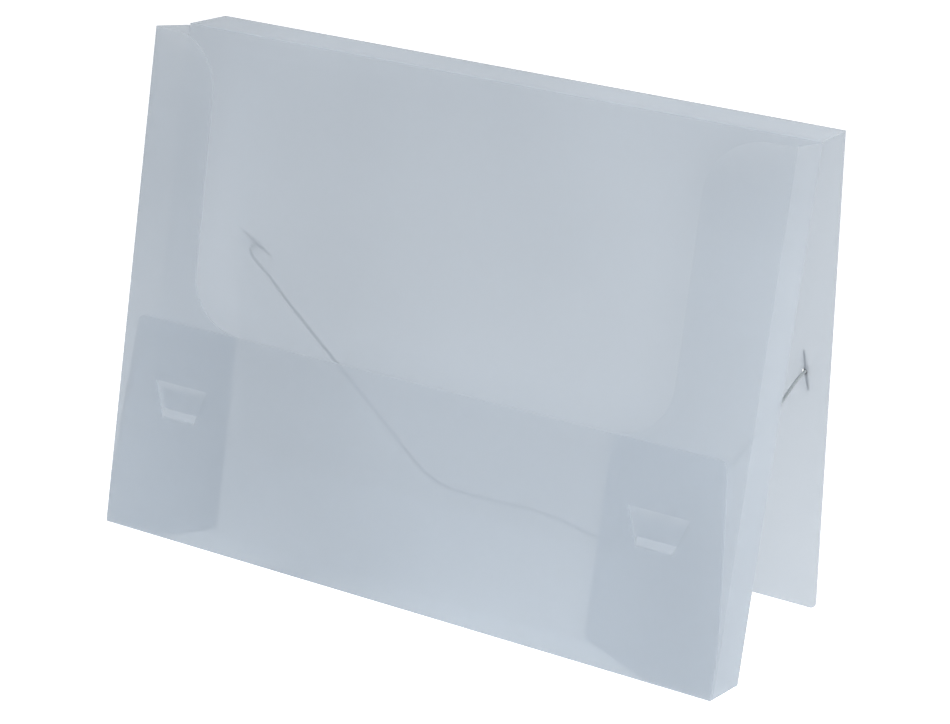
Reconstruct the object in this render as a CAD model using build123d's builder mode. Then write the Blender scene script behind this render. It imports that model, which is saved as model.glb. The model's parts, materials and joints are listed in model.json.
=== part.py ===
from build123d import *

import os
from math import atan2, cos, degrees, pi, radians, sin, tan

# A frosted polypropylene file box, creased from one sheet and stood open as an A-frame: the shallow
# tray leans back at the front, the lid is folded over the top and props it from behind.
# All lengths are in millimetres. X is the width, Y runs from the tray to the lid, Z is up.
# The origin is under the middle of the object, on the surface that it stands on.

# Sheet
sheet = 0.8
crease_radius = 0.5
crease_web = 0.4
crease_gap = 0.06
fold_gap = 0.1

# Tray
tray_width = 330.0
tray_height = 245.0
tray_depth = 27.5

# Pocket flap, folded up over the front of the tray
pocket_height = 107.0
pocket_foot_inset = 1.0
pocket_top_inset = 9.2
pocket_taper_start = 26.0
pocket_corner_radius = 4.0

# Side flaps, folded in over the front of the tray
flap_width = 38.5
flap_shoulder_radius = 26.0
flap_foot_width = 65.0
flap_toe_start = 34.0
flap_toe_rise = 10.5
flap_toe_radius = 3.0

# Lock tongues, cut in the pocket flap and pushed through a slit in each side flap
tongue_from_side = 37.3
tongue_root_height = 59.5
tongue_length = 14.0
tongue_root_width = 17.0
tongue_head_width = 26.5
tongue_root_rise = 0.8
tongue_pass_rise = 3.2
tongue_bend_radius = 0.6
tongue_kerf = 0.5
tongue_head_gap = 3.6
slit_clearance = 0.4

# Spine and lid
top_clearance = 0.3
lid_standoff = 0.3
lid_length = 240.0
lid_inset = 1.2
lid_corner_radius = 3.0
spine_tilt = 6.2
lid_swing = 14.8
lid_stop = 1.2

# Cord holes in the lid
hole_radius = 1.5
hole_from_side = 12.5
hole_from_crease = 118.5

# Metal T bars, behind the lid, on the two ends of the cord
bar_length = 20.0
bar_middle_radius = 1.0
bar_tip_radius = 0.6
bar_tip_rounding = 0.35
collar_length = 4.4
collar_radius = 1.25
bar_clearance = 0.05
neck_wall = 0.2
right_bar_turn = 9.0
left_bar_turn = 58.0

# Elastic cord. Each arc takes up this share of the shorter of its two runs.
cord_diameter = 1.5
cord_exit_run = 5.6
cord_arc_share = 0.45

half_width = tray_width / 2
half_lid = half_width - lid_inset

# Section points are (back, up), from the front bottom crease of the tray and square to it.
pocket_back = -fold_gap
pocket_front = -fold_gap - sheet
rear_front = tray_depth - sheet
closed_lid_middle = pocket_front - lid_standoff - sheet / 2
spine_axis = Vector(tray_depth - sheet / 2, tray_height + top_clearance + sheet / 2)
spine_span = spine_axis.X - closed_lid_middle
spine_way = Vector(cos(radians(spine_tilt)), sin(radians(spine_tilt)))
lid_axis = spine_axis + spine_way * spine_span
lid_way = Vector(sin(radians(lid_swing)), -cos(radians(lid_swing)))
lid_outward = Vector(-cos(radians(lid_swing)), -sin(radians(lid_swing)))
lid_end = lid_axis + lid_way * lid_length
hole_middle = lid_axis + lid_way * hole_from_crease

# The tray stands on its rear bottom edge and the lid on its front bottom edge, so the line through
# these two feet is level.
tray_foot = Vector(tray_depth, 0)
lid_foot = lid_end + lid_outward * (sheet / 2)
lean = atan2(lid_foot.Y - tray_foot.Y, lid_foot.X - tray_foot.X)


def levelled(point):
    """Turns a section point or direction by the lean of the tray."""
    back = point.X * cos(lean) + point.Y * sin(lean)
    up = point.Y * cos(lean) - point.X * sin(lean)
    return Vector(back, up)


# The front reach is the rounded crease under the pocket flap, the back reach the lid's rear corner.
front_crease = Vector(pocket_front + crease_radius, crease_radius)
front_reach = levelled(front_crease).X - crease_radius
back_reach = levelled(lid_end - lid_outward * (sheet / 2)).X
middle = (front_reach + back_reach) / 2
ground = levelled(tray_foot).Y


def place(point, across=0.0):
    """Gives the point of the object for a section point and a distance to the right."""
    level = levelled(point)
    return Vector(across, level.X - middle, level.Y - ground)


def way(direction):
    """Gives the direction in the object for a direction in the section."""
    level = levelled(direction)
    return Vector(0, level.X, level.Y)


right = Vector(1, 0, 0)
tray_origin = place(Vector(0, 0))
tray_front = Plane(tray_origin, x_dir=right, z_dir=way(Vector(-1, 0)))
section = Plane(tray_origin, x_dir=way(Vector(1, 0)), z_dir=right)
spine_plane = Plane(place(spine_axis), x_dir=right, z_dir=way(Vector(-spine_way.Y, spine_way.X)))
lid_plane = Plane(place(lid_axis), x_dir=right, z_dir=way(lid_outward))

os.makedirs("parts", exist_ok=True)


def save(piece, label):
    piece.part.label = label
    export_step(piece.part, f"parts/{label}.step")


# Rear panel, the back of the tray. A thin web joins it to the round bead that the spine folds about.
rear_half = half_width - sheet
with BuildPart() as rear_panel:
    with BuildSketch(tray_front.offset(-tray_depth)):
        with Locations((0, tray_height / 2)):
            Rectangle(2 * rear_half, tray_height)
    extrude(amount=sheet)
    with BuildSketch(section):
        with Locations((spine_axis.X, (tray_height + spine_axis.Y) / 2)):
            Rectangle(crease_web, spine_axis.Y - tray_height)
        with Locations((spine_axis.X, spine_axis.Y)):
            Circle(sheet / 2)
    extrude(amount=half_lid, both=True)
save(rear_panel, "rear_panel")

# Bottom wall, between the rear panel and the pocket flap
with BuildPart() as bottom_wall:
    with BuildSketch(section):
        with Locations(((pocket_back + rear_front) / 2, sheet / 2)):
            Rectangle(rear_front - pocket_back, sheet)
    extrude(amount=half_width - pocket_foot_inset, both=True)
save(bottom_wall, "bottom_wall")

# Side walls, with a rounded crease at the front and at the back
wall_foot = sheet + fold_gap
with BuildPart() as right_side_wall:
    with BuildSketch(section.offset(rear_half)):
        with Locations((tray_depth / 2, (wall_foot + tray_height) / 2)):
            Rectangle(tray_depth, tray_height - wall_foot)
    extrude(amount=sheet)
    upright_edges = right_side_wall.edges().filter_by(Axis(tray_origin, way(Vector(0, 1))))
    fillet(upright_edges.group_by(Axis.X)[-1], crease_radius)
save(right_side_wall, "right_side_wall")

with BuildPart() as left_side_wall:
    mirror(right_side_wall.part, about=Plane.YZ)
save(left_side_wall, "left_side_wall")

# Side flaps. A flap is narrow at the top and flares out to a wide foot behind the pocket flap.
flap_edge = half_width - flap_width
foot_edge = half_width - flap_foot_width
toe_edge = half_width - flap_toe_start
flare_radius = flap_foot_width - flap_width
flare_top = pocket_height + flare_radius
shoulder_foot = tray_height - flap_shoulder_radius
diagonal = sin(pi / 4)
tongue_middle = half_width - tongue_from_side
root_bend = tongue_root_height + tongue_root_rise
head_bend = root_bend + tongue_pass_rise
slit_foot = tongue_root_height - slit_clearance
slit_top = head_bend + slit_clearance


def tongue_half_width(height):
    """Gives half the width of a tongue at a height on the pocket flap."""
    share = (height - tongue_root_height) / tongue_length
    return (tongue_root_width + (tongue_head_width - tongue_root_width) * share) / 2


slit_half = tongue_half_width(slit_top) + slit_clearance
with BuildPart() as right_side_flap:
    with BuildSketch(tray_front.offset(-sheet)) as flap_outline:
        with BuildLine():
            Polyline(
                (flap_edge + flap_shoulder_radius, tray_height),
                (rear_half, tray_height),
                (rear_half, wall_foot),
                (toe_edge, wall_foot),
                (foot_edge, wall_foot + flap_toe_rise),
                (foot_edge, pocket_height),
            )
            ThreePointArc(
                (foot_edge, pocket_height),
                (foot_edge + flare_radius * diagonal, flare_top - flare_radius * diagonal),
                (flap_edge, flare_top),
            )
            Line((flap_edge, flare_top), (flap_edge, shoulder_foot))
            ThreePointArc(
                (flap_edge, shoulder_foot),
                (
                    flap_edge + flap_shoulder_radius * (1 - diagonal),
                    shoulder_foot + flap_shoulder_radius * diagonal,
                ),
                (flap_edge + flap_shoulder_radius, tray_height),
            )
        make_face()
        toe = flap_outline.vertices().sort_by(Axis.X)[0:2].sort_by(Axis.Z)[0]
        fillet(toe, flap_toe_radius)
        with Locations((tongue_middle, (slit_foot + slit_top) / 2)):
            Rectangle(2 * slit_half, slit_top - slit_foot, mode=Mode.SUBTRACT)
    extrude(amount=sheet)
save(right_side_flap, "right_side_flap")

with BuildPart() as left_side_flap:
    mirror(right_side_flap.part, about=Plane.YZ)
save(left_side_flap, "left_side_flap")

# Pocket flap, with a window round each lock tongue. The window's foot is the root of the tongue.
pocket_foot = half_width - pocket_foot_inset
pocket_top = half_width - pocket_top_inset
tongue_top = tongue_root_height + tongue_length
window_top = tongue_top + tongue_head_gap
with BuildPart() as pocket_flap:
    with BuildSketch(tray_front.offset(-pocket_back)) as pocket_outline:
        with BuildLine():
            Polyline(
                (-pocket_foot, 0),
                (pocket_foot, 0),
                (pocket_foot, pocket_taper_start),
                (pocket_top, pocket_height),
                (-pocket_top, pocket_height),
                (-pocket_foot, pocket_taper_start),
                close=True,
            )
        make_face()
        fillet(pocket_outline.vertices().group_by(Axis.Z)[-1], pocket_corner_radius)
        for side in (-1, 1):
            root_half = tongue_half_width(tongue_root_height) + tongue_kerf
            head_half = tongue_half_width(window_top) + tongue_kerf
            with BuildLine():
                Polyline(
                    (side * tongue_middle - root_half, tongue_root_height),
                    (side * tongue_middle + root_half, tongue_root_height),
                    (side * tongue_middle + head_half, window_top),
                    (side * tongue_middle - head_half, window_top),
                    close=True,
                )
            make_face(mode=Mode.SUBTRACT)
    extrude(amount=sheet)
    foot_edges = pocket_flap.edges().filter_by(Axis.X).group_by(Axis.Z)[0]
    fillet(foot_edges.sort_by(Axis.Y)[0], crease_radius)
save(pocket_flap, "pocket_flap")

# Lock tongues. Each rises from its root, passes back through the slit and lies behind the side flap.
tongue_front = (pocket_front + pocket_back) / 2
tongue_back = sheet + fold_gap + sheet / 2
with BuildPart() as right_lock_tongue:
    with BuildSketch(section.offset(tongue_middle)):
        with BuildLine() as tongue_line:
            FilletPolyline(
                (tongue_front, tongue_root_height),
                (tongue_front, root_bend),
                (tongue_back, head_bend),
                (tongue_back, tongue_top),
                radius=tongue_bend_radius,
            )
        trace(tongue_line.line, line_width=sheet)
    extrude(amount=tongue_head_width / 2, both=True)
    with BuildSketch(tray_front.offset(sheet)):
        with BuildLine():
            Polyline(
                (tongue_middle - tongue_root_width / 2, tongue_root_height),
                (tongue_middle + tongue_root_width / 2, tongue_root_height),
                (tongue_middle + tongue_head_width / 2, tongue_top),
                (tongue_middle - tongue_head_width / 2, tongue_top),
                close=True,
            )
        make_face()
    extrude(amount=-tray_depth, mode=Mode.INTERSECT)
save(right_lock_tongue, "right_lock_tongue")

with BuildPart() as left_lock_tongue:
    mirror(right_lock_tongue.part, about=Plane.YZ)
save(left_lock_tongue, "left_lock_tongue")

# Spine. It starts just clear of the rear panel's bead and ends in the bead that the lid folds about.
spine_start = sheet / 2 + crease_gap
with BuildPart() as top_spine:
    with BuildSketch(spine_plane.offset(-sheet / 2)):
        with Locations((0, (spine_start + spine_span) / 2)):
            Rectangle(2 * half_lid, spine_span - spine_start)
    extrude(amount=sheet)
    with BuildSketch(section):
        with Locations((lid_axis.X, lid_axis.Y)):
            Circle(sheet / 2)
    extrude(amount=half_lid, both=True)
save(top_spine, "top_spine")

# Lid, with rounded lower corners and one cord hole near each side
with BuildPart() as lid:
    with BuildSketch(lid_plane.offset(-sheet / 2)) as lid_outline:
        with Locations((0, -(spine_start + lid_length) / 2)):
            Rectangle(2 * half_lid, lid_length - spine_start)
        fillet(lid_outline.vertices().group_by(Axis.Z)[0], lid_corner_radius)
        with Locations(
            (half_lid - hole_from_side, -hole_from_crease),
            (hole_from_side - half_lid, -hole_from_crease),
        ):
            Circle(hole_radius, mode=Mode.SUBTRACT)
    extrude(amount=sheet)
save(lid, "lid")


# T bars. A bar lies behind the lid, across its hole. Its collar and short neck hold the cord's end.
bar_depth = sheet / 2 + bar_clearance + collar_radius
half_bar = bar_length / 2
half_collar = collar_length / 2
hole_across = half_lid - hole_from_side
bars = (("left_t_bar", -hole_across, left_bar_turn), ("right_t_bar", hole_across, right_bar_turn))
for name, across, turn in bars:
    turned = lid_plane.y_dir.rotate(Axis((0, 0, 0), lid_plane.z_dir), turn)
    bar_middle = place(hole_middle - lid_outward * bar_depth, across)
    bar_frame = Plane(bar_middle, x_dir=turned, z_dir=lid_plane.z_dir)
    with BuildPart() as t_bar:
        with BuildSketch(bar_frame):
            with BuildLine():
                Polyline(
                    (-half_bar, 0),
                    (-half_bar, bar_tip_radius),
                    (-half_collar, bar_middle_radius),
                    (-half_collar, collar_radius),
                    (half_collar, collar_radius),
                    (half_collar, bar_middle_radius),
                    (half_bar, bar_tip_radius),
                    (half_bar, 0),
                    close=True,
                )
            make_face()
        revolve(axis=Axis(bar_middle, turned))
        tips = t_bar.edges().filter_by(GeomType.CIRCLE).sort_by(Axis(bar_middle, turned))
        fillet([tips[0], tips[-1]], bar_tip_rounding)
        with BuildSketch(bar_frame):
            Circle(cord_diameter / 2 + neck_wall)
        extrude(amount=bar_depth - sheet / 2)
    save(t_bar, name)

# Elastic cord. It comes forward out of each hole and hangs slack in a wide, uneven bow.
cord_out = lid_outward * cord_exit_run
cord_root = hole_middle - lid_outward * (sheet / 2)
cord_route = [
    place(cord_root, -hole_across),
    place(cord_root + cord_out, -hole_across),
    Vector(-147.6, 41.6, 117.6),
    Vector(-138.0, 41.0, 111.6),
    Vector(-123.5, 41.3, 96.5),
    Vector(-96.0, 41.0, 72.6),
    Vector(-66.0, 41.4, 46.0),
    Vector(-40.5, 41.1, 22.6),
    Vector(-22.0, 41.4, 19.0),
    Vector(4.0, 41.1, 20.6),
    Vector(32.0, 41.4, 20.6),
    Vector(54.5, 41.1, 14.8),
    Vector(75.0, 41.3, 18.6),
    Vector(91.0, 41.0, 34.6),
    Vector(109.0, 41.3, 51.2),
    Vector(125.0, 41.0, 73.6),
    Vector(137.5, 41.2, 94.5),
    Vector(145.0, 41.0, 107.6),
    Vector(149.0, 41.6, 115.8),
    place(cord_root + cord_out, hole_across),
    place(cord_root, hole_across),
]


def corner_radii(points):
    """Gives each inner point the largest arc that both its runs have room for."""
    radii = []
    for before, here, after in zip(points, points[1:], points[2:]):
        into = here - before
        out = after - here
        half_turn = radians(into.get_angle(out)) / 2
        radii.append(cord_arc_share * min(into.length, out.length) / tan(half_turn))
    return radii


cord_radii = corner_radii(cord_route)
with BuildPart() as elastic_cord:
    with BuildLine() as cord_path:
        FilletPolyline(*cord_route, radius=cord_radii)
    with BuildSketch(Plane(cord_path.line @ 0, z_dir=cord_path.line % 0)):
        Circle(cord_diameter / 2)
    sweep(path=cord_path.line)
save(elastic_cord, "elastic_cord")

turns = [
    round((b - a).get_angle(c - b))
    for a, b, c in zip(cord_route, cord_route[1:], cord_route[2:])
]
runs = [round((b - a).length, 1) for a, b in zip(cord_route, cord_route[1:])]
cord_length = cord_path.wire().length
cord_section = pi * cord_diameter**2 / 4
closed_spine = 180 - spine_tilt
closed_lid = 90 + (90 - lid_swing) + spine_tilt - lid_stop
print("cord runs", runs)
print("cord turns", turns)
print("cord radii", [round(radius, 1) for radius in cord_radii])
print("cord length", round(cord_length, 1), "volume over section times length",
      round(elastic_cord.part.volume / (cord_section * cord_length), 4))
print("cord route", [tuple(round(value, 2) for value in point) for point in cord_route])
print("lean", round(degrees(lean), 3), "spine", round(closed_spine, 2), "lid", round(closed_lid, 2))
print("spine axis", place(spine_axis), "lid axis", place(lid_axis))
print("left hole", place(hole_middle, -hole_across), "axis", way(lid_outward))
print("tray foot", place(tray_foot), "lid foot", place(lid_foot), "tray origin", tray_origin)
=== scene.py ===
import json
from contextlib import contextmanager
from math import cos, pi, radians, sin, tan

import bmesh
import bpy
import numpy as np
from mathutils import Matrix, Vector
from mathutils.geometry import delaunay_2d_cdt


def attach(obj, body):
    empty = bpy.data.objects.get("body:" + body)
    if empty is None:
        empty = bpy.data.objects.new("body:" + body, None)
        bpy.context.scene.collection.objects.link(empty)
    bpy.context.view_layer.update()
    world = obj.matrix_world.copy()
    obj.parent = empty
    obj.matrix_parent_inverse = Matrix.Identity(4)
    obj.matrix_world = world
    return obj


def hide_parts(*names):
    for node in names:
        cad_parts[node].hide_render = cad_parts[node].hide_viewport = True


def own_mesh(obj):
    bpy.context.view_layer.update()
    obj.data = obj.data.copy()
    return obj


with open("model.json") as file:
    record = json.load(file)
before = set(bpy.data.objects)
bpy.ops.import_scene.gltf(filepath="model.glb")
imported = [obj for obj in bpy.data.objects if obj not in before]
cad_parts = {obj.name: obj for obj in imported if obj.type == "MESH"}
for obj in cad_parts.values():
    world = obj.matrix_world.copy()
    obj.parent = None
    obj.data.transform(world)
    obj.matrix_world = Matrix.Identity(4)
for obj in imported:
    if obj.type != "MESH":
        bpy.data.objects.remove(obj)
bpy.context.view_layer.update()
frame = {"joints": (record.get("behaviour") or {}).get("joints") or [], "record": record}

# A file box creased from one frosted polypropylene sheet and stood open as an A-frame. The shallow
# tray leans back at the front, the lid is folded over the top and props it, and an elastic cord hangs
# from two metal T bars behind the lid. Everything is in metres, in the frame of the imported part.

mm = 0.001
scene = bpy.context.scene
scene.view_settings.view_transform = "Standard"


def toLinear(hexColour):
    channels = [int(hexColour[i:i + 2], 16) / 255 for i in (0, 2, 4)]
    linear = [c / 12.92 if c <= 0.04045 else ((c + 0.055) / 1.055) ** 2.4 for c in channels]
    return (*linear, 1)


def addNode(tree, kind, settings=None, links=None):
    node = tree.nodes.new(kind)
    for key, value in (settings or {}).items():
        if isinstance(key, int) or key in node.inputs:
            node.inputs[key].default_value = value
        else:
            setattr(node, key, value)
    for key, source in (links or {}).items():
        tree.links.new(source, node.inputs[key])
    return node


def emptyTree(owner):
    # the nodes of a material or of the world, cleared
    owner.use_nodes = True
    owner.node_tree.nodes.clear()
    return owner.node_tree


def addObject(name, data):
    thing = bpy.data.objects.new(name, data)
    scene.collection.objects.link(thing)
    return thing


@contextmanager
def editing(mesh):
    shape = bmesh.new()
    shape.from_mesh(mesh)
    yield shape
    shape.to_mesh(mesh)
    shape.free()


# Places that the frame gives: the tray's back face, the two creases and the cord holes
joints = {joint["name"]: joint for joint in frame["joints"]}
mounts = {mount["name"]: mount for mount in frame["record"]["mounts"]}
right = Vector((1, 0, 0))
trayOutward = -Vector(mounts["back"]["axis"])
spineAxis = Vector(joints["spine_crease"]["pos_m"])
lidAxis = Vector(joints["lid_crease"]["pos_m"])
lidOutward = Vector(joints["right_bar_swivel"]["axis"])

tray = {
    "width": 330 * mm,
    "height": 245 * mm,
    "depth": 27.5 * mm,
    "sheet": 0.8 * mm,
    "foldGap": 0.1 * mm,       # between panels that fold over each other
    "creaseRadius": 0.5 * mm,
    "creaseSteps": 6,
    "cutBevel": 0.08 * mm,     # a die-cut edge is barely broken
    "bevelSegments": 2,
    "bevelFrom": 50,           # degrees between two faces from which their edge counts as cut
    "sharpFrom": 35,           # degrees from which an edge is shaded sharp
}
sheet = tray["sheet"]
halfWidth = tray["width"] / 2
rearHalf = halfWidth - sheet
wallFoot = sheet + tray["foldGap"]


def panelFrame(origin, outward):
    # x runs across the panel, y up it and z out of it
    up = outward.cross(right)
    turn = Matrix((right, up, outward)).transposed()
    return Matrix.Translation(origin) @ turn.to_4x4()


trayUp = trayOutward.cross(right)
backPoint = Vector(mounts["back"]["pos_m"])
trayFoot = backPoint - trayUp * (backPoint.z / trayUp.z)
trayFrame = panelFrame(trayFoot + trayOutward * tray["depth"], trayOutward)
spineFrame = panelFrame(spineAxis, right.cross((lidAxis - spineAxis).normalized()))
lidFrame = panelFrame(lidAxis, lidOutward)
print("frame read")


# Materials

frostedLook = {
    "body": "dde6f2",          # the matt face
    "bodyCloud": "d4dde8",     # and its darker patches, painted shade
    "glow": "f4f8fa",          # light that is spread on its way through
    # the glow, darker in the same patches of painted shade
    "glowCloud": "eaeef1",
    "clear": "fbfbfb",         # light that passes straight through
    "clearShare": 0.64,        # of each face, so that about two fifths pass through a sheet
    "glowShare": 0.46,         # of the rest
    "roughness": 0.42,
    "refraction": 1.49,
    # the patches of painted shade: their size, the seed that places them, and where in the noise they start
    # and are full
    "shadeSize": 160 * mm,
    "shadeSeed": 10.0,
    "shadeStart": 0.35,        # in the noise's own values
    "shadeFull": 0.65,
    "grainSize": 0.9 * mm,     # the true grain is about 0.1 mm, too fine to show
    "grainDepth": 0.012 * mm,
}


def frostedPolypropylene(look):
    # Extruded polypropylene sheet, embossed with a fine matt grain. What lies behind it shows
    # through as a crisp, pale veil, and the rest of the light is spread into an even milky glow.
    material = bpy.data.materials.new("frostedPolypropylene")
    tree = emptyTree(material)
    place = addNode(tree, "ShaderNodeTexCoord").outputs["Object"]
    # soft patches where the body and the glow colours are darker are painted shade
    shadeNoise = addNode(
        tree, "ShaderNodeTexNoise",
        {"noise_dimensions": "4D", "Scale": 1 / look["shadeSize"], "Detail": 1.0, "W": look["shadeSeed"]},
        {"Vector": place},
    )
    shadeSpread = addNode(
        tree, "ShaderNodeMapRange",
        {"From Min": look["shadeStart"], "From Max": look["shadeFull"]}, {"Value": shadeNoise.outputs["Fac"]},
    )
    body, glowColour = (
        addNode(
            tree, "ShaderNodeMix",
            {"data_type": "RGBA", 6: toLinear(look[name]), 7: toLinear(look[name + "Cloud"])},
            {0: shadeSpread.outputs["Result"]},
        )
        for name in ("body", "glow")
    )
    grain = addNode(
        tree, "ShaderNodeTexNoise",
        {"Scale": 1 / look["grainSize"], "Detail": 2.0, "Roughness": 0.6}, {"Vector": place},
    )
    bump = addNode(
        tree, "ShaderNodeBump",
        {"Strength": 1.0, "Distance": look["grainDepth"]}, {"Height": grain.outputs["Fac"]},
    )
    face = addNode(
        tree, "ShaderNodeBsdfPrincipled",
        {"Roughness": look["roughness"], "IOR": look["refraction"]},
        {"Base Color": body.outputs[2], "Normal": bump.outputs["Normal"]},
    )
    glow = addNode(tree, "ShaderNodeBsdfTranslucent", {}, {"Color": glowColour.outputs[2]})
    milky = addNode(
        tree, "ShaderNodeMixShader", {"Fac": look["glowShare"]}, {1: face.outputs[0], 2: glow.outputs[0]},
    )
    clear = addNode(tree, "ShaderNodeBsdfTransparent", {"Color": toLinear(look["clear"])})
    veil = addNode(
        tree, "ShaderNodeMixShader", {"Fac": look["clearShare"]}, {1: milky.outputs[0], 2: clear.outputs[0]},
    )
    addNode(tree, "ShaderNodeOutputMaterial", {}, {"Surface": veil.outputs[0]})
    return material


steelLook = {
    "metal": "77797d",
    "smoothest": 0.22,         # roughness varies between these
    "roughest": 0.42,
    "drawnLine": 0.25 * mm,    # the true lines are under 0.1 mm, too fine to show
    "lineDepth": 0.01 * mm,
}


def platedSteel(look):
    # Zinc-plated steel strip, rolled and drawn into a tube: a bright streak along a mid-grey bar.
    material = bpy.data.materials.new("platedSteel")
    tree = emptyTree(material)
    place = addNode(tree, "ShaderNodeTexCoord").outputs["Object"]
    lines = addNode(
        tree, "ShaderNodeTexNoise", {"Scale": 1 / look["drawnLine"], "Detail": 2.0}, {"Vector": place},
    )
    bump = addNode(tree, "ShaderNodeBump", {"Distance": look["lineDepth"]}, {"Height": lines.outputs["Fac"]})
    wear = addNode(
        tree, "ShaderNodeMapRange",
        {"To Min": look["smoothest"], "To Max": look["roughest"]}, {"Value": lines.outputs["Fac"]},
    )
    metal = addNode(
        tree, "ShaderNodeBsdfPrincipled",
        {"Base Color": toLinear(look["metal"]), "Metallic": 1.0},
        {"Roughness": wear.outputs["Result"], "Normal": bump.outputs["Normal"]},
    )
    addNode(tree, "ShaderNodeOutputMaterial", {}, {"Surface": metal.outputs[0]})
    return material


elasticLook = {
    "yarn": "c0c6c9",
    "threadShade": "9da4a8",           # painted shade between the threads
    "thread": 0.5 * mm,        # three threads lie side by side across the cord
    "threadDepth": 0.12 * mm,
    "roughness": 0.8,
    "sheen": 0.3,
}


def braidedElastic(look):
    # Round elastic cord, a rubber core under braided polyester yarn: soft, dull and faintly ribbed.
    material = bpy.data.materials.new("braidedElastic")
    tree = emptyTree(material)
    place = addNode(tree, "ShaderNodeTexCoord").outputs["Object"]
    threads = addNode(tree, "ShaderNodeTexVoronoi", {"Scale": 1 / look["thread"]}, {"Vector": place})
    # each thread darkens towards its edge: painted shade between the threads
    colour = addNode(
        tree, "ShaderNodeMix",
        {"data_type": "RGBA", 6: toLinear(look["yarn"]), 7: toLinear(look["threadShade"])},
        {0: threads.outputs["Distance"]},
    )
    bump = addNode(
        tree, "ShaderNodeBump", {"Distance": look["threadDepth"], "invert": True},
        {"Height": threads.outputs["Distance"]},
    )
    yarn = addNode(
        tree, "ShaderNodeBsdfPrincipled",
        {"Roughness": look["roughness"], "Sheen Weight": look["sheen"]},
        {"Base Color": colour.outputs[2], "Normal": bump.outputs["Normal"]},
    )
    addNode(tree, "ShaderNodeOutputMaterial", {}, {"Surface": yarn.outputs[0]})
    return material


sheetMaterial = frostedPolypropylene(frostedLook)
steelMaterial = platedSteel(steelLook)
elasticMaterial = braidedElastic(elasticLook)
print("materials made")


# Outlines and flat sheets

meshRule = {
    "step": 7 * mm,            # between points, so that a panel can bend
    "fewestArcSteps": 6,
    "arcStepsPerRadian": 10,
    "rowSpacing": 0.87,        # in mesh steps, which makes the triangles about even
    "rowStart": 0.3,           # in mesh steps, and half a step more in every other row
    "edgeRoom": 0.45,          # in mesh steps, kept free of points beside an outline
    "samePoint": 0.001 * mm,   # outline points this close count as one
    "sameCorner": 0.01 * mm,   # and so do corners of the finished sheet
    "tolerance": 0.0001 * mm,
}


def cornerArc(before, here, after, radius, steps=None):
    # the points of the arc that rounds the corner at here
    here = Vector(here)
    into = (here - Vector(before)).normalized()
    out = (Vector(after) - here).normalized()
    turn = -into.angle_signed(out)
    if steps is None:
        steps = max(meshRule["fewestArcSteps"], round(abs(turn) * meshRule["arcStepsPerRadian"]))
    start = here - into * radius * tan(abs(turn) / 2)
    middle = start + Vector((-into.y, into.x)) * radius * (1 if turn > 0 else -1)
    arc = []
    for k in range(steps + 1):
        spoke = start - middle
        spoke.rotate(Matrix.Rotation(turn * k / steps, 2))
        arc.append(middle + spoke)
    return arc


def roundedLoop(corners):
    # corners are (x, y, radius), and straight runs are divided into mesh steps
    loop = []
    for index, (x, y, radius) in enumerate(corners):
        before, after = corners[index - 1][:2], corners[(index + 1) % len(corners)][:2]
        loop += cornerArc(before, (x, y), after, radius) if radius else [Vector((x, y))]
    divided = []
    for here, after in zip(loop, loop[1:] + loop[:1]):
        pieces = max(1, round((after - here).length / meshRule["step"]))
        divided += [here.lerp(after, k / pieces) for k in range(pieces)]
    pairs = zip(divided, divided[-1:] + divided[:-1])
    return np.array([tuple(p) for p, before in pairs if (p - before).length > meshRule["samePoint"]])


def insideLoop(points, loop):
    inside = np.zeros(len(points), bool)
    for (ax, ay), (bx, by) in zip(loop, np.roll(loop, -1, axis=0)):
        spans = (ay > points[:, 1]) != (by > points[:, 1])
        if spans.any():
            reach = ax + (points[:, 1] - ay) * (bx - ax) / (by - ay)
            inside ^= spans & (points[:, 0] < reach)
    return inside


def nearLoop(points, loop, distance):
    near = np.zeros(len(points), bool)
    for a, b in zip(loop, np.roll(loop, -1, axis=0)):
        run = b - a
        share = np.clip((points - a) @ run / (run @ run), 0, 1)
        near |= np.linalg.norm(points - a - share[:, None] * run, axis=1) < distance
    return near


def flatSheet(name, outline, holes):
    step = meshRule["step"]
    loops = [outline, *holes]
    low, high = outline.min(axis=0), outline.max(axis=0)
    rows = np.arange(low[1] + step / 2, high[1], step * meshRule["rowSpacing"])
    grid = np.array([
        (x, y)
        for number, y in enumerate(rows)
        for x in np.arange(low[0] + step * (meshRule["rowStart"] + number % 2 / 2), high[0], step)
    ])
    grid = grid[insideLoop(grid, outline)]
    for loop in loops:
        grid = grid[~nearLoop(grid, loop, step * meshRule["edgeRoom"])]
    for hole in holes:
        grid = grid[~insideLoop(grid, hole)]
    points, edges = [], []
    for loop in loops:
        first = len(points)
        points += [Vector(p) for p in loop]
        edges += [(first + k, first + (k + 1) % len(loop)) for k in range(len(loop))]
    points += [Vector(p) for p in grid]
    insideOnly = 1
    corners, _, triangles, *_ = delaunay_2d_cdt(points, edges, [], insideOnly, meshRule["tolerance"])
    corners = np.array([tuple(p) for p in corners])
    middles = np.array([corners[list(t)].mean(axis=0) for t in triangles])
    kept = insideLoop(middles, outline)
    for hole in holes:
        kept &= ~insideLoop(middles, hole)
    mesh = bpy.data.meshes.new(name)
    faces = [t for t, keep in zip(triangles, kept) if keep]
    mesh.from_pydata([(x, y, 0) for x, y in corners], [], faces)
    with editing(mesh) as shape:
        flipped = [face for face in shape.faces if face.normal.z < 0]
        bmesh.ops.reverse_faces(shape, faces=flipped)
    return addObject(name, mesh)


# Every Geometry Nodes rule starts with its named inputs and ends in real geometry with its material

def newShapeTree(name, inputs, result):
    tree = bpy.data.node_groups.new(name, "GeometryNodeTree")
    for label, kind in inputs.items():
        tree.interface.new_socket(label, in_out="INPUT", socket_type="NodeSocket" + kind)
    tree.interface.new_socket(result, in_out="OUTPUT", socket_type="NodeSocketGeometry")
    return tree, addNode(tree, "NodeGroupInput").outputs


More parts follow.
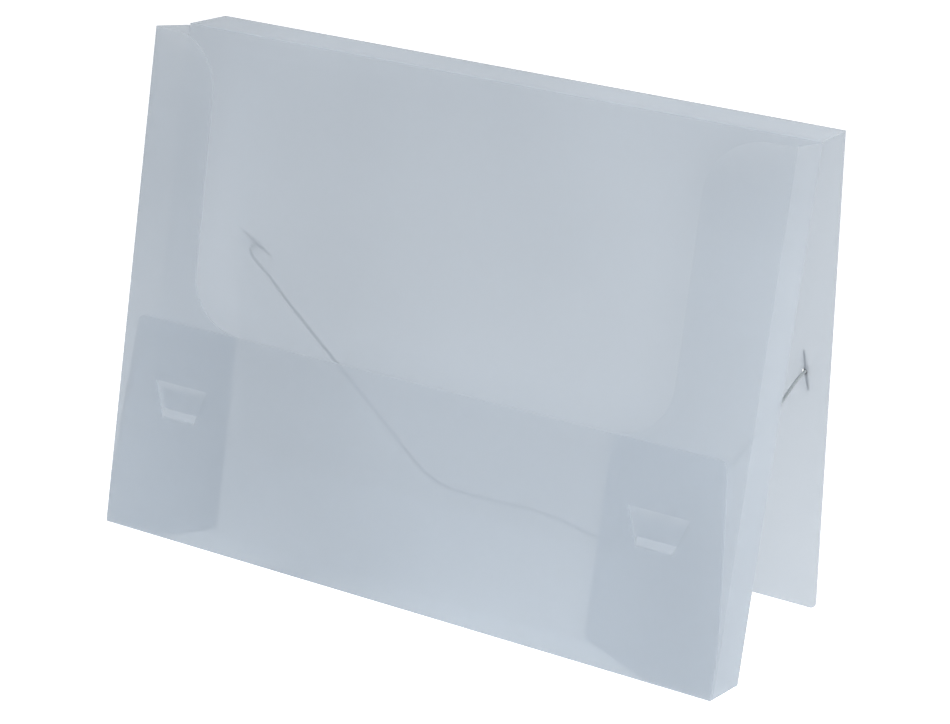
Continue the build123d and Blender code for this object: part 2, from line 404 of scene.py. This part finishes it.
def endShapeTree(tree, geometry, material):
    real = addNode(tree, "GeometryNodeRealizeInstances", {}, {"Geometry": geometry})
    painted = addNode(
        tree, "GeometryNodeSetMaterial", {}, {"Geometry": real.outputs[0], "Material": material},
    )
    addNode(tree, "NodeGroupOutput", {}, {0: painted.outputs[0]})
    return tree


# Geometry Nodes rule for a panel that hangs on a crease: it leans out from the crease, waves a little
# where it is free, and gets its thickness.

def bentSheetTree():
    tree, given = newShapeTree("bentSheet", {
        "Flat Sheet": "Geometry", "Thickness": "Float", "Lift": "Float", "Rise Height": "Float",
        "Rise Power": "Float", "Crease Point": "Vector", "Way From Crease": "Vector",
        "Free Reach": "Float", "Far Edge Held": "Float", "Wave Height": "Float",
        "Wave Length": "Float", "Seed": "Float", "Material": "Material",
    }, "Panel")
    place = addNode(tree, "GeometryNodeInputPosition").outputs[0]
    fromCrease = addNode(
        tree, "ShaderNodeVectorMath", {"operation": "SUBTRACT"}, {0: place, 1: given["Crease Point"]},
    )
    distance = addNode(
        tree, "ShaderNodeVectorMath", {"operation": "DOT_PRODUCT"},
        {0: fromCrease.outputs[0], 1: given["Way From Crease"]},
    )
    free = addNode(
        tree, "ShaderNodeMath", {"operation": "DIVIDE", "use_clamp": True},
        {0: distance.outputs["Value"], 1: given["Free Reach"]},
    )
    height = addNode(tree, "ShaderNodeSeparateXYZ", {}, {0: place}).outputs["Y"]
    rise = addNode(
        tree, "ShaderNodeMath", {"operation": "DIVIDE", "use_clamp": True},
        {0: height, 1: given["Rise Height"]},
    )
    curved = addNode(
        tree, "ShaderNodeMath", {"operation": "POWER"}, {0: rise.outputs[0], 1: given["Rise Power"]},
    )
    lifted = addNode(
        tree, "ShaderNodeMath", {"operation": "MULTIPLY"}, {0: curved.outputs[0], 1: given["Lift"]},
    )
    wave = addNode(
        tree, "ShaderNodeMath", {"operation": "DIVIDE", 0: 1.0}, {1: given["Wave Length"]},
    )
    noise = addNode(
        tree, "ShaderNodeTexNoise", {"noise_dimensions": "4D", "Detail": 0.0},
        {"Vector": place, "W": given["Seed"], "Scale": wave.outputs[0]},
    )
    centred = addNode(
        tree, "ShaderNodeMath", {"operation": "SUBTRACT", 1: 0.5}, {0: noise.outputs["Fac"]},
    )
    held = addNode(
        tree, "ShaderNodeMath", {"operation": "MULTIPLY"}, {0: free.outputs[0], 1: given["Far Edge Held"]},
    )
    loose = addNode(tree, "ShaderNodeMath", {"operation": "SUBTRACT", 0: 1.0}, {1: held.outputs[0]})
    swing = addNode(
        tree, "ShaderNodeMath", {"operation": "MULTIPLY"}, {0: loose.outputs[0], 1: given["Wave Height"]},
    )
    waved = addNode(
        tree, "ShaderNodeMath", {"operation": "MULTIPLY_ADD"},
        {0: centred.outputs[0], 1: swing.outputs[0], 2: lifted.outputs[0]},
    )
    outward = addNode(
        tree, "ShaderNodeMath", {"operation": "MULTIPLY"}, {0: waved.outputs[0], 1: free.outputs[0]},
    )
    offset = addNode(tree, "ShaderNodeCombineXYZ", {}, {"Z": outward.outputs[0]})
    bent = addNode(
        tree, "GeometryNodeSetPosition", {}, {"Geometry": given["Flat Sheet"], "Offset": offset.outputs[0]},
    )
    thick = addNode(tree, "ShaderNodeCombineXYZ", {}, {"Z": given["Thickness"]})
    raised = addNode(
        tree, "GeometryNodeExtrudeMesh", {"mode": "FACES", "Individual": False},
        {"Mesh": bent.outputs[0], "Offset": thick.outputs[0]},
    )
    back = addNode(tree, "GeometryNodeFlipFaces", {}, {"Mesh": bent.outputs[0]})
    # the extrusion makes the front and the rim, and the bent sheet itself, turned over, is the back
    both = addNode(tree, "GeometryNodeJoinGeometry", {}, {"Geometry": raised.outputs["Mesh"]})
    tree.links.new(back.outputs[0], both.inputs[0])
    closed = addNode(
        tree, "GeometryNodeMergeByDistance",
        {"Distance": meshRule["sameCorner"]}, {"Geometry": both.outputs[0]},
    )
    return endShapeTree(tree, closed.outputs[0], given["Material"])


bentSheet = bentSheetTree()


def runTree(thing, tree, values):
    modifier = thing.modifiers.new("rule", "NODES")
    modifier.node_group = tree
    sockets = {item.name: item.identifier for item in tree.interface.items_tree if item.in_out == "INPUT"}
    for name, value in values.items():
        modifier[sockets[name]] = value


def makePlain(thing):
    # its evaluated shape becomes its own mesh
    evaluated = thing.evaluated_get(bpy.context.evaluated_depsgraph_get())
    mesh = bpy.data.meshes.new_from_object(evaluated)
    thing.modifiers.clear()
    thing.data = mesh


def finishPiece(thing, placing, body, node, material, sharpFrom):
    thing.data.transform(placing)
    thing.data.materials.clear()
    thing.data.materials.append(material)
    thing.data.shade_smooth()
    thing.data.set_sharp_from_angle(angle=radians(sharpFrom))
    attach(thing, body)
    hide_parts(node)


def finishSheet(thing, placing, body, node):
    edges = thing.modifiers.new("cutEdges", "BEVEL")
    edges.width = tray["cutBevel"]
    edges.segments = tray["bevelSegments"]
    edges.limit_method = "ANGLE"
    edges.angle_limit = radians(tray["bevelFrom"])
    makePlain(thing)
    finishPiece(thing, placing, body, node, sheetMaterial, tray["sharpFrom"])


def pressFlat(thing):
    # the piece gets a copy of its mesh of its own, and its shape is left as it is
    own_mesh(thing)


def creasedPanel(name, outline, holes, rule, base):
    thing = flatSheet(name, outline, holes)
    thing.data.transform(Matrix.Translation((0, 0, base)))
    runTree(thing, bentSheet, {
        "Thickness": sheet, "Lift": rule["lift"], "Rise Height": rule["riseHeight"],
        "Rise Power": rule["risePower"], "Crease Point": rule["creasePoint"],
        "Way From Crease": rule["wayFromCrease"], "Free Reach": rule["freeReach"],
        "Far Edge Held": rule["farEdgeHeld"], "Wave Height": rule["waveHeight"],
        "Wave Length": rule["waveLength"], "Seed": rule["seed"], "Material": sheetMaterial,
    })
    makePlain(thing)
    return thing


def sweptSheet(name, rings):
    # rings are equal loops of points, one after the other, and the first and last are closed by a face
    count = len(rings[0])
    points = [point for ring in rings for point in ring]
    faces = []
    for number in range(len(rings) - 1):
        for k in range(count):
            a, b = number * count + k, number * count + (k + 1) % count
            faces.append((a, b, b + count, a + count))
    faces += [tuple(range(count)), tuple(len(points) - 1 - k for k in range(count))]
    mesh = bpy.data.meshes.new(name)
    mesh.from_pydata(points, [], faces)
    with editing(mesh) as shape:
        bmesh.ops.recalc_face_normals(shape, faces=shape.faces)
    return addObject(name, mesh)


def stations(low, high):
    # the ends, and places between them a mesh step apart
    count = max(2, round((high - low) / meshRule["step"]) + 1)
    return [float(value) for value in np.linspace(low, high, count)]


# Rear panel, with the web and the round bead that the spine folds about

rearPanel = {
    "bow": 0.7 * mm,           # it bulges forward a little in the middle
    "webHalf": 0.2 * mm,       # half the thickness of the web that carries the bead
    "beadSides": 16,
}


def makeRearPanel(values):
    front, back = sheet - tray["depth"], -tray["depth"]
    middle, beadRadius, web = (front + back) / 2, sheet / 2, values["webHalf"]
    beadHeight = (trayFrame.inverted() @ spineAxis).y
    neckAngle = np.arcsin(web / beadRadius)
    heights = stations(0, tray["height"])
    profile = [(front, y) for y in heights] + [(middle + web, tray["height"])]
    for angle in np.linspace(neckAngle, 2 * pi - neckAngle, values["beadSides"]):
        profile.append((middle + beadRadius * sin(angle), beadHeight - beadRadius * cos(angle)))
    profile += [(middle - web, tray["height"])] + [(back, y) for y in heights[::-1]]
    rings = []
    for x in stations(-rearHalf, rearHalf):
        bow = values["bow"] * (1 - (x / rearHalf) ** 2)
        share = [sin(pi * min(y / tray["height"], 1)) for _, y in profile]
        rings.append([Vector((x, y, z + bow * s)) for (z, y), s in zip(profile, share)])
    thing = sweptSheet("rearPanel", rings)
    finishSheet(thing, trayFrame, "tray", "rear_panel")


# Side walls, with a rounded crease at the front and at the back

def makeSideWall(side, name, node):
    inner, outer, radius = rearHalf, halfWidth, tray["creaseRadius"]
    back = -tray["depth"]
    profile = [(inner, z) for z in stations(0, back)]
    for corner, first in ((back + radius, -90), (-radius, 0)):
        for angle in np.linspace(first, first + 90, tray["creaseSteps"] + 1):
            turn = radians(angle)
            profile.append((outer - radius + radius * cos(turn), corner + radius * sin(turn)))
    rings = [[Vector((side * x, y, z)) for x, z in profile] for y in stations(wallFoot, tray["height"])]
    thing = sweptSheet(name, rings)
    finishSheet(thing, trayFrame, "tray", node)


# Pocket flap, folded up over the front, with a window round each lock tongue

pocketFlap = {
    "height": 107 * mm,
    "footInset": 1 * mm,
    "topInset": 9.2 * mm,
    "taperStart": 26 * mm,
    "cornerRadius": 4 * mm,
    "footSegments": 5,
    "lift": 1.7 * mm,          # how far its free top edge stands out
    "risePower": 1.5,
    "farEdgeHeld": 0.0,
    "waveHeight": 0.6 * mm,
    "waveLength": 130 * mm,
    "seed": 3.0,
}

# the windows in the pocket flap and the slits in the side flaps follow these values too
lockTongue = {
    "fromSide": 37.3 * mm,     # to its middle
    "rootHeight": 59.5 * mm,
    "length": 14 * mm,
    "rootWidth": 17 * mm,
    "headWidth": 26.5 * mm,
    "rootRise": 0.8 * mm,      # from its root up to the first bend
    "passRise": 3.2 * mm,      # and from there up to the second, behind the side flap
    "bendRadius": 0.6 * mm,
    "bendSteps": 5,
    "kerf": 0.5 * mm,          # between the tongue and the sides of its window
    "headGap": 3.6 * mm,       # and above its head
    "slitClearance": 0.4 * mm,
}
tongueMiddle = halfWidth - lockTongue["fromSide"]
tongueTop = lockTongue["rootHeight"] + lockTongue["length"]
headBend = lockTongue["rootHeight"] + lockTongue["rootRise"] + lockTongue["passRise"]


def tongueHalf(height):
    share = (height - lockTongue["rootHeight"]) / lockTongue["length"]
    return (lockTongue["rootWidth"] + (lockTongue["headWidth"] - lockTongue["rootWidth"]) * share) / 2


def makePocketFlap(values):
    foot = halfWidth - values["footInset"]
    top = halfWidth - values["topInset"]
    outline = roundedLoop([
        (-foot, 0, 0), (foot, 0, 0), (foot, values["taperStart"], 0),
        (top, values["height"], values["cornerRadius"]),
        (-top, values["height"], values["cornerRadius"]), (-foot, values["taperStart"], 0),
    ])
    low, high = lockTongue["rootHeight"], tongueTop + lockTongue["headGap"]
    lowHalf, highHalf = tongueHalf(low) + lockTongue["kerf"], tongueHalf(high) + lockTongue["kerf"]
    windows = [
        roundedLoop([
            (middle - lowHalf, low, 0), (middle + lowHalf, low, 0),
            (middle + highHalf, high, 0), (middle - highHalf, high, 0),
        ])
        for middle in (-tongueMiddle, tongueMiddle)
    ]
    # it is loose from its foot on, so its crease is given as lying far below
    rule = {
        **values, "creasePoint": (0, -1, 0), "wayFromCrease": (0, 1, 0), "freeReach": 1 * mm,
        "riseHeight": values["height"],
    }
    thing = creasedPanel("pocketFlap", outline, windows, rule, tray["foldGap"])
    front = sheet + tray["foldGap"] / 2
    with editing(thing.data) as shape:
        footEdges = [
            edge for edge in shape.edges
            if all(abs(v.co.y) < meshRule["sameCorner"] and v.co.z > front for v in edge.verts)
        ]
        bmesh.ops.bevel(
            shape, geom=footEdges, offset=tray["creaseRadius"], segments=values["footSegments"],
            profile=0.5, affect="EDGES",
        )
    finishSheet(thing, trayFrame, "tray", "pocket_flap")
    pressFlat(thing)


# Bottom wall, between the rear panel and the pocket flap

def makeBottomWall():
    front, back = tray["foldGap"], sheet - tray["depth"]
    half = halfWidth - pocketFlap["footInset"]
    profile = [(z, 0) for z in stations(back, front)]
    profile += [(z, sheet) for z in stations(front, back)]
    rings = [[Vector((x, y, z)) for z, y in profile] for x in stations(-half, half)]
    thing = sweptSheet("bottomWall", rings)
    finishSheet(thing, trayFrame, "tray", "bottom_wall")


# Side flaps, folded in over the front behind the pocket flap

sideFlap = {
    "width": 38.5 * mm,
    "topInset": 0.4 * mm,
    "shoulderRadius": 26 * mm,
    "footWidth": 65 * mm,
    "toeStart": 34 * mm,
    "toeRise": 10.5 * mm,
    "toeRadius": 3 * mm,
    "lift": 4.6 * mm,          # the free edge springs out most at the shoulder
    "risePower": 1.6,
    "farEdgeHeld": 0.0,
    "waveHeight": 0.5 * mm,
    "waveLength": 70 * mm,
    "seed": 5.0,
}


def makeSideFlap(values, side, name, node):
    edge, foot = halfWidth - values["width"], halfWidth - values["footWidth"]
    toe = halfWidth - values["toeStart"]
    flare = values["footWidth"] - values["width"]
    top = tray["height"] - values["topInset"]
    corners = [
        (edge, top, values["shoulderRadius"]), (edge, pocketFlap["height"], flare),
        (foot, pocketFlap["height"], 0), (foot, wallFoot + values["toeRise"], values["toeRadius"]),
        (toe, wallFoot, 0), (rearHalf, wallFoot, 0), (rearHalf, top, 0),
    ]
    slitLow = lockTongue["rootHeight"] - lockTongue["slitClearance"]
    slitHigh = headBend + lockTongue["slitClearance"]
    half = tongueHalf(slitHigh) + lockTongue["slitClearance"]
    slit = [
        (tongueMiddle - half, slitLow, 0), (tongueMiddle - half, slitHigh, 0),
        (tongueMiddle + half, slitHigh, 0), (tongueMiddle + half, slitLow, 0),
    ]
    if side > 0:
        order = corners
    else:
        order = [(-x, y, radius) for x, y, radius in corners[::-1]]
        slit = [(-x, y, radius) for x, y, radius in slit]
    outline = roundedLoop(order)
    slitLoop = roundedLoop(slit)
    rule = {
        **values, "creasePoint": (side * halfWidth, 0, 0), "wayFromCrease": (-side, 0, 0),
        "freeReach": values["width"], "riseHeight": tray["height"], "seed": values["seed"] + side,
    }
    thing = creasedPanel(name, outline, [slitLoop], rule, -sheet)
    finishSheet(thing, trayFrame, "tray", node)
    pressFlat(thing)


# Lock tongues, cut in the pocket flap and pushed back through the slit of a side flap

def makeLockTongue(side, name, node):
    root = lockTongue["rootHeight"]
    passFoot = root + lockTongue["rootRise"]
    stand = pocketFlap["lift"] * (root / pocketFlap["height"]) ** pocketFlap["risePower"]
    frontMiddle = tray["foldGap"] + sheet / 2 + stand
    backMiddle = -sheet - tray["foldGap"] - sheet / 2
    line = [
        (root, frontMiddle), (passFoot, frontMiddle), (headBend, backMiddle), (tongueTop, backMiddle),
    ]
    path = [line[0]]
    for before, here, after in zip(line, line[1:], line[2:]):
        path += cornerArc(before, here, after, lockTongue["bendRadius"], lockTongue["bendSteps"])
    path.append(line[-1])
    rings = []
    for number, (y, z) in enumerate(path):
        before = path[max(number - 1, 0)]
        after = path[min(number + 1, len(path) - 1)]
        along = Vector((after[0] - before[0], after[1] - before[1])).normalized()
        back = Vector((-along.y, along.x)) * sheet / 2
        half = tongueHalf(y)
        middle = side * tongueMiddle
        rings.append([
            Vector((middle + x, y + back.x * turn, z + back.y * turn))
            for x, turn in ((-half, -1), (half, -1), (half, 1), (-half, 1))
        ])
    thing = sweptSheet(name, rings)
    finishSheet(thing, trayFrame, "tray", node)
    pressFlat(thing)


# Spine, the narrow strip over the top. Its far edge is the round bead that the lid folds about.

spinePiece = {
    "beadGap": 0.06 * mm,      # from a bead to the panel that folds about it
    "sideInset": 1.2 * mm,
    "beadSteps": 8,
}
pastBead = sheet / 2 + spinePiece["beadGap"]


def makeSpine(values):
    span = (lidAxis - spineAxis).length
    run = stations(pastBead, span)
    profile = [(-sheet / 2, y) for y in run]
    for angle in np.linspace(-90, 90, values["beadSteps"] + 1)[1:-1]:
        profile.append((sheet / 2 * sin(radians(angle)), span + sheet / 2 * cos(radians(angle))))
    profile += [(sheet / 2, y) for y in run[::-1]]
    half = halfWidth - values["sideInset"]
    rings = [[Vector((x, y, z)) for z, y in profile] for x in stations(-half, half)]
    thing = sweptSheet("topSpine", rings)
    finishSheet(thing, spineFrame, "spine", "top_spine")


# Lid, with rounded lower corners and a cord hole near each side

lidPiece = {
    "length": 240 * mm,
    "sideInset": 1.2 * mm,
    "cornerRadius": 3 * mm,
    "holeRadius": 1.5 * mm,
    "holeSides": 24,
    "holeFromSide": 12.5 * mm,
    "holeFromCrease": 118.5 * mm,
    "lift": 0.0,               # it hangs straight, apart from its waves
    "riseHeight": 1.0,
    "risePower": 1.0,
    "farEdgeHeld": 1.0,        # it stands on the floor
    "waveHeight": 3.0 * mm,
    "waveLength": 150 * mm,
    "seed": 9.0,
}


def makeLid(values):
    half, top, foot = halfWidth - values["sideInset"], -pastBead, -values["length"]
    outline = roundedLoop([
        (-half, foot, values["cornerRadius"]), (half, foot, values["cornerRadius"]),
        (half, top, 0), (-half, top, 0),
    ])
    holes = [
        np.array([
            (side * (half - values["holeFromSide"]) + values["holeRadius"] * cos(turn),
             -values["holeFromCrease"] + values["holeRadius"] * sin(turn))
            for turn in np.linspace(0, 2 * pi, values["holeSides"] + 1)[:-1]
        ])
        for side in (-1, 1)
    ]
    rule = {
        **values, "creasePoint": (0, 0, 0), "wayFromCrease": (0, -1, 0), "freeReach": values["length"],
    }
    thing = creasedPanel("lidPanel", outline, holes, rule, -sheet / 2)
    finishSheet(thing, lidFrame, "lid", "lid")


makeRearPanel(rearPanel)
makeBottomWall()
for side, word in ((-1, "left"), (1, "right")):
    makeSideWall(side, word + "SideWall", word + "_side_wall")
    makeSideFlap(sideFlap, side, word + "SideFlap", word + "_side_flap")
    makeLockTongue(side, word + "LockTongue", word + "_lock_tongue")
makePocketFlap(pocketFlap)
makeSpine(spinePiece)
makeLid(lidPiece)
print("sheet panels made")


# Elastic cord. It comes forward out of each hole and hangs slack in a wide, uneven bow.

elasticCord = {
    "diameter": 1.5 * mm,
    "length": 404.7 * mm,      # from T bar to T bar
    "exitRun": 5.6 * mm,       # straight out of each hole
    "order": 3,                # of its NURBS curve
    "ringSteps": 6,
    "runSteps": 12,
}

# what it hangs along, from left to right, in millimetres
cordHang = [
    (-147.6, 41.6, 117.6), (-138, 41, 111.6), (-123.5, 41.3, 96.5), (-96, 41, 72.6), (-66, 41.4, 46),
    (-40.5, 41.1, 22.6), (-22, 41.4, 19), (4, 41.1, 20.6), (32, 41.4, 20.6), (54.5, 41.1, 14.8),
    (75, 41.3, 18.6), (91, 41, 34.6), (109, 41.3, 51.2), (125, 41, 73.6), (137.5, 41.2, 94.5),
    (145, 41, 107.6), (149, 41.6, 115.8),
]


def makeCord(values):
    roots = [
        Vector(joints[body + "_swivel"]["pos_m"]) - lidOutward * sheet / 2
        for body in ("left_bar", "right_bar")
    ]
    out = lidOutward * values["exitRun"]
    route = [roots[0], roots[0] + out, *(Vector(p) * mm for p in cordHang), roots[1] + out, roots[1]]
    curve = bpy.data.curves.new("elasticCord", "CURVE")
    curve.dimensions = "3D"
    curve.bevel_depth = values["diameter"] / 2
    curve.bevel_resolution = values["ringSteps"]
    curve.resolution_u = values["runSteps"]
    curve.use_fill_caps = True
    spline = curve.splines.new("NURBS")
    spline.points.add(len(route) - 1)
    for point, place in zip(spline.points, route):
        point.co = (*place, 1)
    spline.order_u = values["order"]
    spline.use_endpoint_u = True
    curve.materials.append(elasticMaterial)
    thing = addObject("elasticCord", curve)
    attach(thing, "lid")
    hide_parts("elastic_cord")


# T bars: a tapered tube with a crimped collar round its middle, and a short neck that holds the cord

tBar = {
    "length": 20 * mm,
    "middleRadius": 1.0 * mm,
    "tipRadius": 0.6 * mm,
    "tipRounding": 0.35 * mm,
    "collarLength": 4.4 * mm,
    "collarRadius": 1.25 * mm,
    "collarEase": 0.25 * mm,   # the run over which the collar rises
    "clearance": 0.05 * mm,    # from the collar to the lid
    "neckWall": 0.2 * mm,      # round the cord
    "neckRounding": 0.15 * mm,
    "neckRings": 25,
    "rings": 161,
    "sides": 32,
    "sharpFrom": 50,           # degrees from which an edge is shaded sharp
    "leftTurn": 58,            # degrees, from upright
    "rightTurn": 9,
}


# Geometry Nodes rule for a turned bar: its radius follows the distance from the middle

def turnedBarTree():
    tree, given = newShapeTree("turnedBar", {
        "Length": "Float", "Middle Radius": "Float", "Tip Radius": "Float", "Tip Rounding": "Float",
        "Collar Length": "Float", "Collar Radius": "Float", "Collar Ease": "Float", "Rings": "Int",
        "Sides": "Int", "Material": "Material",
    }, "Bar")
    place = addNode(tree, "GeometryNodeInputPosition").outputs[0]
    known = {socket.name: socket for socket in given}
    known["across"] = addNode(tree, "ShaderNodeSeparateXYZ", {}, {0: place}).outputs["X"]
    # each step works on numbers, on the inputs above and on the steps before it
    steps = {
        "half": ("MULTIPLY", "Length", 0.5),
        "leftEnd": ("MULTIPLY", "half", -1.0),
        "fromMiddle": ("ABSOLUTE", "across"),
        "fromTip": ("SUBTRACT", "half", "fromMiddle"),
        "taper": ("SUBTRACT", "Tip Radius", "Middle Radius"),
        "outShare": ("DIVIDE", "fromMiddle", "half"),
        "tapered": ("MULTIPLY_ADD", "outShare", "taper", "Middle Radius"),
        "tipShare": ("DIVIDE", "fromTip", "Tip Rounding"),
        "inward": ("SUBTRACT", 1.0, "tipShare"),
        "inwardSquare": ("MULTIPLY", "inward", "inward"),
        "outwardSquare": ("SUBTRACT", 1.0, "inwardSquare"),
        "rounding": ("SQRT", "outwardSquare"),
        "lostShare": ("SUBTRACT", 1.0, "rounding"),
        "lost": ("MULTIPLY", "Tip Rounding", "lostShare"),
        "bar": ("SUBTRACT", "tapered", "lost"),
        "halfCollar": ("MULTIPLY", "Collar Length", 0.5),
        "insideCollar": ("SUBTRACT", "halfCollar", "fromMiddle"),
        "collarShare": ("DIVIDE", "insideCollar", "Collar Ease"),
        "collarRise": ("SUBTRACT", "Collar Radius", "bar"),
        "eased": ("POWER", "collarShare", 0.5),
        "radius": ("MULTIPLY_ADD", "eased", "collarRise", "bar"),
    }
    for name, (operation, *terms) in steps.items():
        # these two shares stay between 0 and 1
        clamped = name in ("tipShare", "collarShare")
        numbers = {index: term for index, term in enumerate(terms) if not isinstance(term, str)}
        links = {index: known[term] for index, term in enumerate(terms) if isinstance(term, str)}
        settings = {"operation": operation, "use_clamp": clamped, **numbers}
        known[name] = addNode(tree, "ShaderNodeMath", settings, links).outputs[0]
    leftEnd = addNode(tree, "ShaderNodeCombineXYZ", {}, {"X": known["leftEnd"]})
    rightEnd = addNode(tree, "ShaderNodeCombineXYZ", {}, {"X": known["half"]})
    line = addNode(
        tree, "GeometryNodeCurvePrimitiveLine", {}, {"Start": leftEnd.outputs[0], "End": rightEnd.outputs[0]},
    )
    points = addNode(
        tree, "GeometryNodeResampleCurve", {}, {"Curve": line.outputs[0], "Count": given["Rings"]},
    )
    shaped = addNode(
        tree, "GeometryNodeSetCurveRadius", {}, {"Curve": points.outputs[0], "Radius": known["radius"]},
    )
    circle = addNode(
        tree, "GeometryNodeCurvePrimitiveCircle", {"Radius": 1.0}, {"Resolution": given["Sides"]},
    )
    tube = addNode(
        tree, "GeometryNodeCurveToMesh", {"Fill Caps": True},
        {"Curve": shaped.outputs[0], "Profile Curve": circle.outputs[0], "Scale": known["radius"]},
    )
    return endShapeTree(tree, tube.outputs[0], given["Material"])


turnedBar = turnedBarTree()


def turnedPiece(name, lengths):
    thing = addObject(name, bpy.data.meshes.new(name))
    runTree(thing, turnedBar, {
        **lengths, "Collar Ease": tBar["collarEase"], "Sides": tBar["sides"], "Material": steelMaterial,
    })
    makePlain(thing)
    return thing


def makeTBar(values, name, node, body, turn):
    depth = sheet / 2 + values["clearance"] + values["collarRadius"]
    hole = Vector(joints[body + "_swivel"]["pos_m"])
    middle = hole - lidOutward * depth
    along = Matrix.Rotation(radians(turn), 3, lidOutward) @ lidOutward.cross(right)
    placing = Matrix((along, lidOutward.cross(along), lidOutward)).transposed().to_4x4()
    placing.translation = middle
    bar = turnedPiece(name, {
        "Length": values["length"], "Middle Radius": values["middleRadius"],
        "Tip Radius": values["tipRadius"], "Tip Rounding": values["tipRounding"],
        "Collar Length": values["collarLength"], "Collar Radius": values["collarRadius"],
        "Rings": values["rings"],
    })
    neckRadius = elasticCord["diameter"] / 2 + values["neckWall"]
    neckLength = depth - sheet / 2
    neck = turnedPiece(name + "Neck", {
        "Length": neckLength, "Middle Radius": neckRadius, "Tip Radius": neckRadius,
        "Tip Rounding": values["neckRounding"], "Collar Length": 0.0, "Collar Radius": neckRadius,
        "Rings": values["neckRings"],
    })
    stand = Matrix.Translation((0, 0, neckLength / 2)) @ Matrix.Rotation(-pi / 2, 4, "Y")
    neck.data.transform(stand)
    with editing(bar.data) as shape:
        shape.from_mesh(neck.data)
        bmesh.ops.recalc_face_normals(shape, faces=shape.faces)
    bpy.data.objects.remove(neck)
    finishPiece(bar, placing, body, node, steelMaterial, values["sharpFrom"])


for word in ("left", "right"):
    makeTBar(tBar, word + "TBar", word + "_t_bar", word + "_bar", tBar[word + "Turn"])
print("T bars made")
makeCord(elasticCord)
print("cord made")


# Camera, floor and light

view = {                       # fitted to the box's corners in the photograph
    "place": (0.558118, -0.986213, 0.555409),
    "turn": (68.4345, -2.0326, 29.9935),
    "lens": 98.568,
    "sensor": 36,
}


def makeCamera(values):
    lens = bpy.data.cameras.new("camera")
    lens.lens = values["lens"]
    lens.sensor_width = values["sensor"]
    camera = addObject("camera", lens)
    camera.location = values["place"]
    camera.rotation_euler = [radians(angle) for angle in values["turn"]]
    scene.camera = camera


def pastOrThrough(tree, past, through):
    # past is what shows beside the object, in its gloss and by its milky glow, and through is what the
    # camera sees straight through its sheets
    ray = addNode(tree, "ShaderNodeLightPath").outputs
    direct = addNode(
        tree, "ShaderNodeMath", {"operation": "LESS_THAN", 1: 0.5}, {0: ray["Transparent Depth"]},
    )
    camera = addNode(
        tree, "ShaderNodeMath", {"operation": "MULTIPLY"}, {0: ray["Is Camera Ray"], 1: direct.outputs[0]},
    )
    mirrored = addNode(
        tree, "ShaderNodeMath", {"operation": "MAXIMUM"},
        {0: ray["Is Glossy Ray"], 1: ray["Is Transmission Ray"]},
    )
    seenPast = addNode(
        tree, "ShaderNodeMath", {"operation": "MAXIMUM"}, {0: camera.outputs[0], 1: mirrored.outputs[0]},
    )
    return addNode(
        tree, "ShaderNodeMixShader", {},
        {0: seenPast.outputs[0], 1: through.outputs[0], 2: past.outputs[0]},
    )


# the backdrop's tone, and what the floor adds to its paint, where they are seen through the sheets
seenThrough = "6f7781"

ground = {
    "size": 6.0,
    "paint": "e8eaeb",         # what lights the object from below and shows through it
    "white": 0.9,              # added where the floor is seen past the object
}


def makeFloor(values):
    bpy.ops.mesh.primitive_plane_add(size=values["size"])
    floor = bpy.context.object
    floor.name = "floor"
    material = bpy.data.materials.new("whiteFloor")
    tree = emptyTree(material)
    paint = addNode(tree, "ShaderNodeBsdfDiffuse", {"Color": toLinear(values["paint"])})
    none = addNode(tree, "ShaderNodeEmission", {"Strength": 0.0})
    shine = addNode(tree, "ShaderNodeEmission", {"Strength": values["white"]})
    tone = addNode(tree, "ShaderNodeEmission", {"Color": toLinear(seenThrough)})
    ray = addNode(tree, "ShaderNodeLightPath").outputs
    through = addNode(
        tree, "ShaderNodeMixShader", {}, {0: ray["Is Camera Ray"], 1: none.outputs[0], 2: tone.outputs[0]},
    )
    added = pastOrThrough(tree, shine, through)
    surface = addNode(tree, "ShaderNodeAddShader", {}, {0: paint.outputs[0], 1: added.outputs[0]})
    addNode(tree, "ShaderNodeOutputMaterial", {}, {"Surface": surface.outputs[0]})
    floor.data.materials.append(material)


light = {
    "room": "eff2f5",          # lights the object all round
    "roomStrength": 0.22,
    "lamps": {
        # name: (place, aims at, width, watts)
        "topSoftbox": ((0, 0, 1.3), (0, 0, 0.1), 0.6, 4.6),
        "frontSoftbox": ((2.0, -3.0, 1.0), (0, 0, 0.1), 2.6, 60),
        "sideCard": ((0.5, 0.02, 0.04), (0, 0.02, 0.08), 0.2, 0.5),
    },
}


def makeLight(values):
    world = bpy.data.worlds.new("room")
    scene.world = world
    tree = emptyTree(world)
    room = addNode(
        tree, "ShaderNodeBackground", {"Color": toLinear(values["room"]), "Strength": values["roomStrength"]},
    )
    backdrop = addNode(tree, "ShaderNodeBackground", {"Color": toLinear(seenThrough)})
    white = addNode(tree, "ShaderNodeBackground", {"Color": (1, 1, 1, 1)})
    ray = addNode(tree, "ShaderNodeLightPath").outputs
    through = addNode(
        tree, "ShaderNodeMixShader", {},
        {0: ray["Is Camera Ray"], 1: room.outputs[0], 2: backdrop.outputs[0]},
    )
    seen = pastOrThrough(tree, white, through)
    addNode(tree, "ShaderNodeOutputWorld", {}, {"Surface": seen.outputs[0]})
    for name, (place, aim, width, watts) in values["lamps"].items():
        lamp = bpy.data.lights.new(name, "AREA")
        lamp.size = width
        lamp.energy = watts
        thing = addObject(name, lamp)
        thing.location = place
        thing.rotation_euler = (Vector(aim) - Vector(place)).to_track_quat("-Z", "Y").to_euler()
        thing.visible_camera = False


makeCamera(view)
makeFloor(ground)
makeLight(light)
print("camera, floor and light made")
